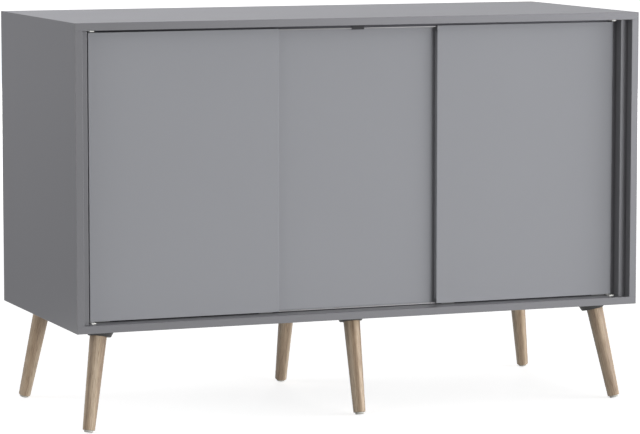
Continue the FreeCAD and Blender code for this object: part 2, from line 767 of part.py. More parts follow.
def wedge_disc(corner):
    """A moulded disc: flat on the underside, its lower face square to the leg."""
    point, direction, lean = leg_axis(corner)
    square = lean * math.cos(TILT) + Vector(0, 0, math.sin(TILT))
    above = -2 * WEDGE_AXIAL
    spread = (WEDGE_AXIAL - above) * math.tan(math.radians(WEDGE_DRAFT))
    body = turned((
        (0, above),
        (WEDGE_RADIUS + spread, above),
        (WEDGE_RADIUS, WEDGE_AXIAL),
        (0, WEDGE_AXIAL),
    ))
    body = rounded(body, WEDGE_ROUND, ((2, WEDGE_AXIAL),))
    body = place(body, point - square * WEDGE_INSET, direction)
    bore = rod(HANGER_RADIUS + HOLE_FIT, point + direction * above, direction, WEDGE_AXIAL - above)
    reach = 4 * (WEDGE_RADIUS + spread)
    carcass_side = block(
        point.x - reach,
        point.x + reach,
        point.y - reach,
        point.y + reach,
        UNDERSIDE,
        UNDERSIDE + reach,
    )
    return body.cut([carcass_side, bore] + wedge_screws(corner)[2])


def legs():
    """Six legs with their discs, bolts, screws and foot glides."""
    bolts = []
    screws = []
    for corner in CORNERS:
        point, direction, _ = leg_axis(corner)
        write("leg_" + corner, place(leg(), point, direction))
        write("foot_glide_" + corner, place(foot_glide(), point, direction))
        write("leg_disc_" + corner, wedge_disc(corner))
        bolts.append(place(hanger_bolt(), point, direction))
        screws += wedge_screws(corner)[0]
    write("hanger_bolts", group(bolts))
    write("leg_disc_screws", group(screws))


# ------------------------------------------------------------------ the sideboard
carcass()
write("lower_rail_front", rail(OUTER_RAIL_Y, DECK, LOWER_HEIGHT, 1))
write("lower_rail_rear", rail(INNER_RAIL_Y, DECK, LOWER_HEIGHT, 1))
write("upper_rail_front", rail(OUTER_RAIL_Y, CEILING, UPPER_HEIGHT, -1))
write("upper_rail_rear", rail(INNER_RAIL_Y, CEILING, UPPER_HEIGHT, -1))
write("centre_stop", centre_stop())
door("door_left", -DOOR_EDGE, OUTER_FACE)
door("door_centre", -DOOR_WIDTH / 2, INNER_FACE)
door("door_right", DOOR_EDGE - DOOR_WIDTH, OUTER_FACE)
legs()
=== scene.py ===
import math

import bmesh
import bpy
from bpy.props import FloatProperty, FloatVectorProperty, IntProperty, PointerProperty
from mathutils import Matrix, Vector


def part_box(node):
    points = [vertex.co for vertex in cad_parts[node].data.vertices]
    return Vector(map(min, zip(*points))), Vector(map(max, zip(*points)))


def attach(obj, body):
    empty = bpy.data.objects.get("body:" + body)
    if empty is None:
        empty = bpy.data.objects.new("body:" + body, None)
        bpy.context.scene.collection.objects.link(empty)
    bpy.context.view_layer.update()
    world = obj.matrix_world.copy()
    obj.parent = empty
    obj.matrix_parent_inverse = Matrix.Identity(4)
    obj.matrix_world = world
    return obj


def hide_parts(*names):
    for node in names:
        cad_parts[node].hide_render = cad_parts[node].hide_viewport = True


# Low sideboard with three sliding doors on six turned ash legs. Metres, Z up, origin on the floor.

bl_info = {
    "name": "Sliding door sideboard",
    "version": (1, 0, 0),
    "blender": (4, 5, 0),
    "location": "3D View > Sidebar > Sideboard",
    "description": "Finishes, turned legs, fasteners and studio for a sideboard with sliding doors",
    "category": "Object",
}

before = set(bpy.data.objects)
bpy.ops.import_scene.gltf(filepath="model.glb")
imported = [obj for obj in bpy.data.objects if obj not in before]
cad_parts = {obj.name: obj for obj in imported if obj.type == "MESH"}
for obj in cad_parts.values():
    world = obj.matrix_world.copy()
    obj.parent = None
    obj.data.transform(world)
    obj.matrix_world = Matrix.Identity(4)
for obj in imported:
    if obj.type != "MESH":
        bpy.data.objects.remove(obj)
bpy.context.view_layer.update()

MM = 0.001
CABINET = "cabinet"
DOORS = ("door_left", "door_centre", "door_right")
LEG_PLACES = {
    "front_left": (-1, -1),
    "front_middle": (0, -1),
    "front_right": (1, -1),
    "rear_left": (-1, 1),
    "rear_middle": (0, 1),
    "rear_right": (1, 1),
}
BOARDS = (
    "top_board", "bottom_board", "side_left", "side_right", "stile_left", "stile_right",
    "closing_strip_left", "closing_strip_right", "divider_left", "divider_right",
    "shelf_left", "shelf_centre", "shelf_right",
)
LEG_SEGMENTS = 96
LEG_RINGS = 12              # along the taper
END_STEPS = 5               # along each rounded end
SAME_VERTEX = 0.005 * MM
SCREW_SIDES = 32
NAIL_SIDES = 24
CAM_SIDES = 64
RIM_SLOPE = 1.5             # width of a broken rim for its depth
CLEAR_IOR = 1.5             # of lacquers, plastics and woods
WAVE_RINGS = 20             # the wave texture makes a ring every tau / 20 of its own scale

STAGE_MIDDLE = (0.0, 0.0, 0.5)
FLOOR_RADIUS = 60.0
FLOOR_SEGMENTS = 96
SENSOR_WIDTH = 36.0         # millimetres
SIGHT = 200.0               # how far the camera sees
# Softboxes: degrees from the front to the right, distance, height, width, length.
SOFTBOXES = {
    "key": (27.0, 16.0, 1.2, 8.0, 3.0),
    "right": (62.0, 8.0, 1.5, 5.0, 4.0),
    "left": (-62.0, 8.0, 1.5, 5.0, 4.0),
    "fill": (-105.0, 5.0, 1.5, 2.6, 2.6),
    "rear": (160.0, 9.0, 1.6, 3.4, 2.2),
}
# Cards that only gloss sees: start, stop, height, and the radiance at points along X.
CARD_FOOT = 0.002
CARDS = {
    "card_front": (
        (-2.5, -1.6), (3.5, -1.6), 1.8, ((-0.2, 0.05), (0.24, 0.7), (0.45, 1.6), (1.3, 2.8), (2.6, 7.0))
    ),
    "card_rear": ((-3.5, 2.2), (3.5, 2.2), 1.6, ((-1.0, 0.87), (3.0, 0.61))),
    "card_side": ((-2.2, 0.9), (-0.62, 0.9), 1.3, ((0.0, 0.43), (1.0, 0.43))),
}


# ------------------------------------------------------------------ small tools
def linear(code):
    """An sRGB hex colour as linear RGBA."""
    values = [int(code[i:i + 2], 16) / 255 for i in (1, 3, 5)]
    return [v / 12.92 if v <= 0.04045 else ((v + 0.055) / 1.055) ** 2.4 for v in values] + [1.0]


def tone(colour, share):
    """A colour made lighter or darker by a share."""
    return [min(channel * share, 1.0) for channel in colour[:3]] + [1.0]


def add(tree, kind, settings=None, links=None):
    """Adds a node with its settings (attributes, colour stops, input values) and links {input: outputs}."""
    node = tree.nodes.new(kind)
    for key, value in (settings or {}).items():
        if key == "stops":
            elements = node.color_ramp.elements
            while len(elements) < len(value):
                elements.new(0.5)
            for element, (position, colour) in zip(elements, value):
                element.position = position
                element.color = colour
        elif isinstance(key, str) and hasattr(node, key):
            setattr(node, key, value)
        else:
            node.inputs[key].default_value = value
    for key, sockets in (links or {}).items():
        for socket in sockets if isinstance(sockets, list) else [sockets]:
            tree.links.new(socket, node.inputs[key])
    return node


def new_material(name):
    """An empty node material and its tree."""
    material = bpy.data.materials.new(name)
    material.use_nodes = True
    material.node_tree.nodes.clear()
    return material, material.node_tree


def per_metre(millimetres):
    """Noise scale for a pattern whose features are this far apart."""
    return 1.0 / (millimetres * MM)


def link_piece(name, mesh):
    """A new object for a finished piece."""
    piece = bpy.data.objects.new(name, mesh)
    bpy.context.scene.collection.objects.link(piece)
    return piece


def dress(nodes, material):
    """One material on whole CAD nodes."""
    for name in nodes:
        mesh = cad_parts[name].data
        mesh.materials.clear()
        mesh.materials.append(material)


# ------------------------------------------------------------------ materials
def sprayed_lacquer(name, colour, roughness):
    """Polyurethane lacquer sprayed on board: an even cool grey with a faint orange peel in its gloss."""
    material, tree = new_material(name)
    place = add(tree, "ShaderNodeTexCoord").outputs["Object"]
    # The peel's dimples are about 1 mm apart, too fine to show, and are drawn 4 mm apart.
    peel = add(tree, "ShaderNodeTexNoise", {"Scale": per_metre(4.0), "Detail": 2.0}, {"Vector": place})
    # The passes of the gun lie some 160 mm apart. Their tone drifts by 1.5 % and their roughness by 0.01.
    cloud = add(tree, "ShaderNodeTexNoise", {"Scale": per_metre(160.0), "Detail": 3.0}, {"Vector": place})
    drift = {"stops": ((0.0, tone(colour, 0.985)), (1.0, tone(colour, 1.015)))}
    tint = add(tree, "ShaderNodeValToRGB", drift, {"Fac": cloud.outputs["Fac"]})
    spread = {"To Min": roughness - 0.01, "To Max": roughness + 0.01}
    gloss = add(tree, "ShaderNodeMapRange", spread, {"Value": cloud.outputs["Fac"]})
    relief = {"Strength": 0.3, "Distance": 0.02 * MM}
    bump = add(tree, "ShaderNodeBump", relief, {"Height": peel.outputs["Fac"]})
    links = {
        "Base Color": tint.outputs["Color"],
        "Roughness": gloss.outputs["Result"],
        "Normal": bump.outputs["Normal"],
    }
    shader = add(tree, "ShaderNodeBsdfPrincipled", {"IOR": CLEAR_IOR}, links)
    add(tree, "ShaderNodeOutputMaterial", None, {"Surface": shader.outputs["BSDF"]})
    return material


def oiled_ash(name, early, middle, late, pore):
    """Turned ash, oiled: pale greyed beige, growth rings cut into long streaks, fine dark pores."""
    material, tree = new_material(name)
    grain = add(tree, "ShaderNodeAttribute", {"attribute_name": "grain"}).outputs["Vector"]
    # Streaks run twenty times as long as they are wide, and pores some thirty times.
    drawn = add(tree, "ShaderNodeMapping", {"Scale": (1.0, 1.0, 0.05)}, {"Vector": grain}).outputs["Vector"]
    fine = add(tree, "ShaderNodeMapping", {"Scale": (1.0, 1.0, 0.03)}, {"Vector": grain}).outputs["Vector"]
    # The rings wander by up to 5 mm over 9 mm.
    waver = add(tree, "ShaderNodeTexNoise", {"Scale": per_metre(9.0), "Detail": 2.0}, {"Vector": drawn})
    wander = {"operation": "MULTIPLY_ADD", 1: (5.0 * MM, 5.0 * MM, 0.0)}
    bent = add(tree, "ShaderNodeVectorMath", wander, {0: waver.outputs["Color"], 2: drawn})
    # Growth rings are 2 to 3 mm wide, too fine to show, and are drawn 16 mm apart.
    turned = {
        "wave_type": "RINGS",
        "rings_direction": "Z",
        "Scale": per_metre(16.336) * math.tau / WAVE_RINGS,
        "Distortion": 0.6,
        "Detail": 2.0,
    }
    rings = add(tree, "ShaderNodeTexWave", turned, {"Vector": bent.outputs["Vector"]}).outputs["Fac"]
    # Pores are 0.2 mm wide, too fine to show, and are drawn 1.1 mm apart.
    porous = {"Scale": per_metre(1.1), "Detail": 3.0, "Roughness": 0.6}
    fibre = add(tree, "ShaderNodeTexNoise", porous, {"Vector": fine}).outputs["Fac"]
    # The wood's warmth changes over about 14 mm.
    broad = add(tree, "ShaderNodeTexNoise", {"Scale": per_metre(14.0), "Detail": 1.0}, {"Vector": drawn})
    white = linear("#ffffff")
    streaks = add(
        tree, "ShaderNodeValToRGB", {"stops": ((0.0, early), (0.5, middle), (1.0, late))}, {"Fac": rings}
    )
    pores = add(
        tree, "ShaderNodeValToRGB", {"stops": ((0.34, pore), (0.54, white), (1.0, white))}, {"Fac": fibre}
    )
    warm = {"stops": ((0.3, linear("#f4efe9")), (0.7, white))}
    warmth = add(tree, "ShaderNodeValToRGB", warm, {"Fac": broad.outputs["Fac"]})
    tones = {"Color1": streaks.outputs["Color"], "Color2": pores.outputs["Color"]}
    darkened = add(tree, "ShaderNodeMixRGB", {"blend_type": "MULTIPLY", "Fac": 0.6}, tones)
    tones = {"Color1": darkened.outputs["Color"], "Color2": warmth.outputs["Color"]}
    warmed = add(tree, "ShaderNodeMixRGB", {"blend_type": "MULTIPLY", "Fac": 1.0}, tones)
    gloss = add(tree, "ShaderNodeMapRange", {"To Min": 0.46, "To Max": 0.3}, {"Value": fibre})
    bump = add(tree, "ShaderNodeBump", {"Strength": 0.2, "Distance": 0.08 * MM}, {"Height": fibre})
    links = {
        "Base Color": warmed.outputs["Color"],
        "Roughness": gloss.outputs["Result"],
        "Normal": bump.outputs["Normal"],
    }
    shader = add(tree, "ShaderNodeBsdfPrincipled", {"IOR": CLEAR_IOR}, links)
    add(tree, "ShaderNodeOutputMaterial", None, {"Surface": shader.outputs["BSDF"]})
    return material


def moulded_plastic(name, colour, roughness, grit, strength):
    """Injection moulded plastic: one even colour, the fine spark grain of its mould in the gloss."""
    material, tree = new_material(name)
    place = add(tree, "ShaderNodeTexCoord").outputs["Object"]
    # Spark grain is 0.1 mm wide, too fine to show, and is drawn as wide as grit, in millimetres.
    spark = add(tree, "ShaderNodeTexNoise", {"Scale": per_metre(grit), "Detail": 2.0}, {"Vector": place})
    spread = {"To Min": roughness - 0.06, "To Max": roughness + 0.06}
    gloss = add(tree, "ShaderNodeMapRange", spread, {"Value": spark.outputs["Fac"]})
    relief = {"Strength": strength, "Distance": 0.1 * MM}
    bump = add(tree, "ShaderNodeBump", relief, {"Height": spark.outputs["Fac"]})
    links = {"Roughness": gloss.outputs["Result"], "Normal": bump.outputs["Normal"]}
    shader = add(tree, "ShaderNodeBsdfPrincipled", {"Base Color": tuple(colour), "IOR": CLEAR_IOR}, links)
    add(tree, "ShaderNodeOutputMaterial", None, {"Surface": shader.outputs["BSDF"]})
    return material


def extruded_aluminium(name, colour, smooth, rough):
    """Extruded aluminium: satin metal with fine die lines along the rail."""
    material, tree = new_material(name)
    place = add(tree, "ShaderNodeTexCoord").outputs["Object"]
    # Die lines are under 0.1 mm wide, too fine to show, and are drawn 0.3 mm wide for close views.
    along = add(tree, "ShaderNodeMapping", {"Scale": (0.01, 1.0, 1.0)}, {"Vector": place}).outputs["Vector"]
    lines = add(tree, "ShaderNodeTexNoise", {"Scale": per_metre(0.3), "Detail": 2.0}, {"Vector": along})
    spread = {"To Min": smooth, "To Max": rough}
    gloss = add(tree, "ShaderNodeMapRange", spread, {"Value": lines.outputs["Fac"]})
    relief = {"Strength": 0.25, "Distance": 0.02 * MM}
    bump = add(tree, "ShaderNodeBump", relief, {"Height": lines.outputs["Fac"]})
    links = {"Roughness": gloss.outputs["Result"], "Normal": bump.outputs["Normal"]}
    shader = add(tree, "ShaderNodeBsdfPrincipled", {"Base Color": tuple(colour), "Metallic": 1.0}, links)
    add(tree, "ShaderNodeOutputMaterial", None, {"Surface": shader.outputs["BSDF"]})
    return material


def plated_steel(name, colour):
    """Steel, bright zinc plated: cool grey metal with slightly cloudy gloss."""
    material, tree = new_material(name)
    place = add(tree, "ShaderNodeTexCoord").outputs["Object"]
    # The plating clouds over some 2 mm.
    bloom = add(tree, "ShaderNodeTexNoise", {"Scale": per_metre(2.0), "Detail": 3.0}, {"Vector": place})
    clouds = {"stops": ((0.3, tone(colour, 0.87)), (0.7, tone(colour, 1.13)))}
    tint = add(tree, "ShaderNodeValToRGB", clouds, {"Fac": bloom.outputs["Fac"]})
    spread = {"To Min": 0.25, "To Max": 0.42}
    gloss = add(tree, "ShaderNodeMapRange", spread, {"Value": bloom.outputs["Fac"]})
    links = {"Base Color": tint.outputs["Color"], "Roughness": gloss.outputs["Result"]}
    shader = add(tree, "ShaderNodeBsdfPrincipled", {"Metallic": 1.0}, links)
    add(tree, "ShaderNodeOutputMaterial", None, {"Surface": shader.outputs["BSDF"]})
    return material


def pressed_hardboard(name, colour):
    """Pressed hardboard with a grey printed face: flat, with short fibre flecks and little gloss."""
    material, tree = new_material(name)
    place = add(tree, "ShaderNodeTexCoord").outputs["Object"]
    # Fibres are 0.5 mm wide, too fine to show, and are drawn 2.2 mm wide and three times as long.
    stretched = add(tree, "ShaderNodeMapping", {"Scale": (0.35, 1.0, 1.0)}, {"Vector": place})
    flecked = {"Scale": per_metre(2.2), "Detail": 4.0, "Roughness": 0.65}
    fleck = add(tree, "ShaderNodeTexNoise", flecked, {"Vector": stretched.outputs["Vector"]})
    stops = ((0.3, tone(colour, 0.8)), (0.5, tuple(colour)), (0.75, tone(colour, 1.13)))
    tint = add(tree, "ShaderNodeValToRGB", {"stops": stops}, {"Fac": fleck.outputs["Fac"]})
    relief = {"Strength": 0.2, "Distance": 0.1 * MM}
    bump = add(tree, "ShaderNodeBump", relief, {"Height": fleck.outputs["Fac"]})
    links = {"Base Color": tint.outputs["Color"], "Normal": bump.outputs["Normal"]}
    shader = add(tree, "ShaderNodeBsdfPrincipled", {"Roughness": 0.75, "IOR": CLEAR_IOR}, links)
    add(tree, "ShaderNodeOutputMaterial", None, {"Surface": shader.outputs["BSDF"]})
    return material


def turned_beech(name, colour):
    """Beech dowel, turned: warm pale wood, its grain along the pin."""
    material, tree = new_material(name)
    place = add(tree, "ShaderNodeTexCoord").outputs["Object"]
    # Rays are 0.3 mm wide, too fine to show, and are drawn 1 mm wide and ten times as long.
    along = add(tree, "ShaderNodeMapping", {"Scale": (1.0, 1.0, 0.1)}, {"Vector": place}).outputs["Vector"]
    fibre = add(tree, "ShaderNodeTexNoise", {"Scale": per_metre(1.0), "Detail": 3.0}, {"Vector": along})
    stops = ((0.3, tone(colour, 0.8)), (0.7, tone(colour, 1.2)))
    tint = add(tree, "ShaderNodeValToRGB", {"stops": stops}, {"Fac": fibre.outputs["Fac"]})
    bare = {"Roughness": 0.6, "IOR": CLEAR_IOR}
    shader = add(tree, "ShaderNodeBsdfPrincipled", bare, {"Base Color": tint.outputs["Color"]})
    add(tree, "ShaderNodeOutputMaterial", None, {"Surface": shader.outputs["BSDF"]})
    return material


# ------------------------------------------------------------------ what a user would change
def colour_property(name, description, code):
    """A colour that a user can change, from its hex code."""
    return FloatVectorProperty(
        name=name, description=description, default=linear(code), size=4, min=0.0, max=1.0, subtype="COLOR"
    )


def length_property(name, description, millimetres):
    """A length that a user can change."""
    return FloatProperty(name=name, description=description, default=millimetres * MM, unit="LENGTH")


class SideboardFinish(bpy.types.PropertyGroup):
    """Colours and gloss."""

    carcass_colour: colour_property("Carcass colour", "Lacquer of the carcass boards", "#757578")
    carcass_roughness: FloatProperty(
        name="Carcass roughness", description="Gloss of the carcass lacquer",
        default=0.28, min=0.0, max=1.0, subtype="FACTOR",
    )
    door_colour: colour_property("Door colour", "Lacquer of the doors", "#898a8e")
    door_roughness: FloatProperty(
        name="Door roughness", description="Gloss of the door lacquer",
        default=0.75, min=0.0, max=1.0, subtype="FACTOR",
    )
    back_colour: colour_property("Back colour", "Printed face of the hardboard back", "#858487")
    # The rails carry painted light: their webs are coloured dark as painted shade and their crowns pale as
    # a painted highlight.
    lower_web_shade_colour: colour_property("Lower rail colour", "Web of the lower rails, near black as painted shade", "#222224")
    lower_crown_highlight_colour: colour_property(
        "Lower crown colour", "Crown of the lower rails, pale as a painted highlight", "#b4b3b1"
    )
    upper_web_shade_colour: colour_property("Upper rail colour", "Web of the upper rails, dark as painted shade", "#4a4a4c")
    upper_crown_highlight_colour: colour_property(
        "Upper crown colour", "Crown of the upper rails, pale as a painted highlight", "#959492"
    )
    # Height of the pale band that holds each rail's painted highlight.
    crown: length_property("Crown", "Height of the rails' running crown", 1.9)
    plate_colour: colour_property("End plate colour", "Nylon of the end plates", "#f1f1ec")
    # The glides and guides are greyed so they stay dark in the shaded gaps under and over the doors:
    # painted shade.
    shoe_colour: colour_property(
        "Glide colour", "Nylon of the door glides and guides, greyed as painted shade", "#6f6f6e"
    )
    # The centre stop is black so it stays dark in the shaded gap over the centre door: painted shade.
    stop_colour: colour_property("Stop colour", "Nylon of the centre stop", "#1c1c1d")
    disc_colour: colour_property("Disc colour", "Polypropylene of the wedge discs", "#2e2e2d")
    foot_colour: colour_property("Foot colour", "Polyethylene of the foot glides", "#b4b4ae")
    steel_colour: colour_property("Steel colour", "Zinc plating of the fasteners", "#c6c9ce")
    dowel_colour: colour_property("Dowel colour", "Beech of the dowels", "#c6a581")


class SideboardLegs(bpy.types.PropertyGroup):
    """Sizes and wood of the turned legs."""

    tilt: FloatProperty(
        name="Tilt", description="Lean of a leg from upright", default=math.radians(13.5), subtype="ANGLE"
    )
    inset_x: length_property("Inset X", "Corner leg from the end of the carcass", 65)
    inset_y: length_property("Inset Y", "Corner leg from the front or back", 67)
    middle_inset: length_property("Middle inset", "Middle leg from the front or back", 80)
    disc: length_property("Disc", "Wedge disc along the leg's axis", 15.4)
    top_radius: length_property("Top radius", "Radius of the leg under its disc", 16.9)
    top_round: length_property("Top round", "Softened rim under the disc", 0.8)
    foot_radius: length_property("Foot radius", "Radius of the leg above its glide", 12.3)
    foot_round: length_property("Foot round", "Softened rim above the glide", 1.2)
    glide_radius: length_property("Glide radius", "Radius of the foot glide", 9)
    glide_thickness: length_property("Glide thickness", "Glide below the wood", 4)
    glide_round: length_property("Glide round", "Rounded rim of the foot glide", 1.5)
    heart: FloatVectorProperty(
        name="Heart", description="The first leg's axis from the heart of its log",
        default=(14 * MM, -9 * MM, 0.0), subtype="TRANSLATION",
    )
    heart_step: FloatVectorProperty(
        name="Heart step", description="From one leg to the next in the logs",
        default=(3 * MM, -5 * MM, 400 * MM), subtype="TRANSLATION",
    )
    early_colour: colour_property("Early wood", "Darkest tone of the growth rings", "#9a8874")
    middle_colour: colour_property("Middle wood", "Middle tone of the growth rings", "#b2a08a")
    late_colour: colour_property("Late wood", "Lightest tone of the growth rings", "#c3b29d")
    pore_colour: colour_property("Pores", "Tone of the open pores", "#8a7564")


class SideboardFasteners(bpy.types.PropertyGroup):
    """Sizes of the fasteners that repeat."""

    bevel: length_property("Bevel", "Broken rim of the nail heads and cam discs", 0.2)
    screw_head: length_property("Screw head", "Radius of an end plate screw's head", 2.8)
    screw_shank: length_property("Screw shank", "Radius of an end plate screw's shank", 1.4)
    screw_length: length_property("Screw length", "Length of an end plate screw", 12)
    screw_rim: length_property("Screw rim", "Broken rim of a screw head", 0.1)
    screw_recess: length_property("Screw recess", "Arms of the cross recess, tip to tip", 2.8)
    screw_recess_width: length_property("Screw recess width", "Width of the recess's arms", 0.8)
    screw_recess_depth: length_property("Screw recess depth", "Depth of the cross recess", 1.1)
    nail_head: length_property("Nail head", "Radius of a back nail's head", 1.6)
    nail_shank: length_property("Nail shank", "Radius of a back nail's shank", 0.7)
    nail_thickness: length_property("Nail head thickness", "Head of a back nail off the panel", 0.8)
    nail_length: length_property("Nail length", "Length of a back nail under its head", 15)
    cam_radius: length_property("Cam radius", "Radius of a cam disc", 7.5)
    cam_thickness: length_property("Cam thickness", "Depth of a cam disc in its panel", 12)
    cam_cap: length_property("Cam cap", "Full width part of a cam disc", 4)
    cam_step: length_property("Cam step", "The cam's body inside its cap", 0.5)
    cam_slot: length_property("Cam slot", "Long slot of a cam disc", 10.5)
    cam_cross_slot: length_property("Cam cross slot", "Short slot of a cam disc", 5)
    cam_slot_width: length_property("Cam slot width", "Width of the slots", 1.4)
    cam_slot_depth: length_property("Cam slot depth", "Depth of the slots", 2)
    cam_turn: FloatProperty(
        name="Cam turn", description="Most that a cam is off its mark",
        default=math.radians(6), subtype="ANGLE",
    )
    seed: IntProperty(name="Seed", description="Turn of each fastener", default=7)


class SideboardStage(bpy.types.PropertyGroup):
    """Camera, lamps, floor and cards."""

    lens: FloatProperty(name="Lens", description="Focal length in millimetres", default=182.63)
    camera_place: FloatVectorProperty(
        name="Camera", description="Place of the camera",
        default=(-2.40989, -6.19781, 1.12576), subtype="TRANSLATION",
    )
    camera_turn: FloatProperty(
        name="Turn", description="Camera's turn from straight ahead",
        default=math.radians(21.2675), subtype="ANGLE",
    )
    camera_drop: FloatProperty(
        name="Drop", description="Camera's look below the horizon",
        default=math.radians(6.4258), subtype="ANGLE",
    )
    key: FloatProperty(
        name="Key", description="Power of the large softbox in front", default=2120.0, unit="POWER"
    )
    right: FloatProperty(
        name="Right", description="Power of the softbox on the right", default=360.0, unit="POWER"
    )
    left: FloatProperty(
        name="Left", description="Power of the softbox on the left", default=145.0, unit="POWER"
    )
    fill: FloatProperty(
        name="Fill", description="Power of the softbox beside the object", default=70.0, unit="POWER"
    )
    rear: FloatProperty(
        name="Rear", description="Power of the softbox behind", default=250.0, unit="POWER"
    )
    ambient: FloatProperty(name="Ambient", description="Light from all round", default=0.21)
    paper_colour: colour_property("Paper", "Floor as the camera sees it", "#f4f4f4")
    bounce_colour: colour_property("Bounce", "Floor as it lights the object", "#8c8c8c")
    card_colour: colour_property("Cards", "Cool white of the cards in the gloss", "#f8f8ff")
    shine: FloatProperty(name="Shine", description="Strength of the cards in the gloss", default=1.06)
    low_shine: FloatProperty(
        name="Low shine", description="Share of the cards' strength at the floor",
        default=0.7, subtype="FACTOR",
    )
    low_shine_height: FloatProperty(
        name="Low shine height", description="Where the cards reach full strength",
        default=0.6, unit="LENGTH",
    )
    near_glow: FloatProperty(
        name="Near glow", description="Floor's own white under the object", default=0.66, subtype="FACTOR"
    )
    near_reach: FloatProperty(
        name="Near reach", description="Where the floor starts to whiten", default=2.0, unit="LENGTH"
    )
    far_reach: FloatProperty(
        name="Far reach", description="Where the floor is all white", default=9.0, unit="LENGTH"
    )


# ------------------------------------------------------------------ legs
def leg_line(sizes, side, end):
    """Where a leg's axis meets the underside, and its direction downwards."""
    low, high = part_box("bottom_board")
    inset = sizes.inset_y if side else sizes.middle_inset
    point = Vector((side * (high.x - sizes.inset_x), end * (high.y - inset), low.z))
    lean = Vector((side, end, 0)).normalized()
    return point, lean * math.sin(sizes.tilt) - Vector((0, 0, math.cos(sizes.tilt)))


def leg_end(sizes):
    """Length along the axis from the underside to the end of the wood."""
    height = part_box("bottom_board")[0].z
    flat = sizes.glide_radius - sizes.glide_round
    reach = (height - sizes.glide_round - flat * math.sin(sizes.tilt)) / math.cos(sizes.tilt)
    return reach + sizes.glide_round - sizes.glide_thickness


def leg_outline(sizes):
    """(radius, distance along the axis) points of the turned wood, with softened ends."""
    start = sizes.disc
    stop = leg_end(sizes)
    slope = (sizes.foot_radius - sizes.top_radius) / (stop - start)
    outline = [(0.0, start)]
    for radius, place, soft, first in (
        (sizes.top_radius, start, sizes.top_round, True),
        (sizes.foot_radius, stop, sizes.foot_round, False),
    ):
        for step in range(END_STEPS + 1):
            angle = math.pi / 2 * step / END_STEPS
            if first:
                along = place + soft * (1 - math.cos(angle))
                inward = soft * (1 - math.sin(angle))
            else:
                along = place - soft * (1 - math.sin(angle))
                inward = soft * (1 - math.cos(angle))
            outline.append((radius + slope * (along - place) - inward, along))
        if first:
            outline += [
                (
                    sizes.top_radius + slope * (stop - start) * ring / LEG_RINGS,
                    start + (stop - start) * ring / LEG_RINGS,
                )
                for ring in range(1, LEG_RINGS)
            ]
    outline.append((0.0, stop))
    return outline


def turned_mesh(name, outline, matrix, shift):
    """A solid turned round local Z, with its wood coordinates stored as the grain attribute."""
    mesh = bpy.data.meshes.new(name)
    shell = bmesh.new()
    rings = []
    for radius, height in outline:
        if radius == 0.0:
            rings.append([shell.verts.new((0.0, 0.0, height))])
            continue
        rings.append([
            shell.verts.new((radius * math.cos(a), radius * math.sin(a), height))
            for a in (2 * math.pi * i / LEG_SEGMENTS for i in range(LEG_SEGMENTS))
        ])
    for lower, upper in zip(rings, rings[1:]):
        for i in range(LEG_SEGMENTS):
            j = (i + 1) % LEG_SEGMENTS
            if len(lower) == 1:
                shell.faces.new((lower[0], upper[j], upper[i]))
            elif len(upper) == 1:
                shell.faces.new((lower[i], lower[j], upper[0]))
            else:
                shell.faces.new((lower[i], lower[j], upper[j], upper[i]))
    bmesh.ops.recalc_face_normals(shell, faces=shell.faces)
    for face in shell.faces:
        face.smooth = True
    local = [vert.co.copy() for vert in shell.verts]
    shell.transform(matrix)
    shell.to_mesh(mesh)
    shell.free()
    attribute = mesh.attributes.new("grain", "FLOAT_VECTOR", "POINT")
    for item, place in zip(attribute.data, local):
        item.vector = place + shift
    return mesh


class SIDEBOARD_OT_legs(bpy.types.Operator):
    """Turned ash legs on their wedge discs"""

    bl_idname = "sideboard.legs"
    bl_label = "Legs"

    def execute(self, context):
        sizes = context.scene.sideboard_legs
        tones = (sizes.early_colour, sizes.middle_colour, sizes.late_colour, sizes.pore_colour)
        ash = oiled_ash("Ash, turned and oiled", *(tuple(colour) for colour in tones))
        for number, (place, (side, end)) in enumerate(LEG_PLACES.items()):
            point, direction = leg_line(sizes, side, end)
            turn = direction.to_track_quat("Z", "Y").to_matrix().to_4x4()
            matrix = Matrix.Translation(point) @ turn
            heart = Vector(sizes.heart) + number * Vector(sizes.heart_step)
            mesh = turned_mesh("leg_wood_" + place, leg_outline(sizes), matrix, heart)
            mesh.materials.append(ash)
            leg = link_piece("leg_wood_" + place, mesh)
            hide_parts("leg_" + place)
            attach(leg, CABINET)
        return {"FINISHED"}


# ------------------------------------------------------------------ boards, doors, hardware
class SIDEBOARD_OT_boards(bpy.types.Operator):
    """Grey lacquer on the carcass boards"""

    bl_idname = "sideboard.boards"
    bl_label = "Carcass boards"

    def execute(self, context):
        finish = context.scene.sideboard_finish
        lacquer = sprayed_lacquer(
            "Polyurethane lacquer, carcass", finish.carcass_colour, finish.carcass_roughness
        )
        dress(BOARDS, lacquer)
        return {"FINISHED"}


class SIDEBOARD_OT_doors(bpy.types.Operator):
    """Grey lacquer on the doors"""

    bl_idname = "sideboard.doors"
    bl_label = "Doors"

    def execute(self, context):
        finish = context.scene.sideboard_finish
        lacquer = sprayed_lacquer("Polyurethane lacquer, doors", finish.door_colour, finish.door_roughness)
        dress(DOORS, lacquer)
        return {"FINISHED"}


class SIDEBOARD_OT_back(bpy.types.Operator):
    """Hardboard on the back panels"""

    bl_idname = "sideboard.back"
    bl_label = "Back"

    def execute(self, context):
        finish = context.scene.sideboard_finish
        hardboard = pressed_hardboard("Hardboard, grey faced", finish.back_colour)
        dress(("back_left", "back_centre", "back_right"), hardboard)
        return {"FINISHED"}


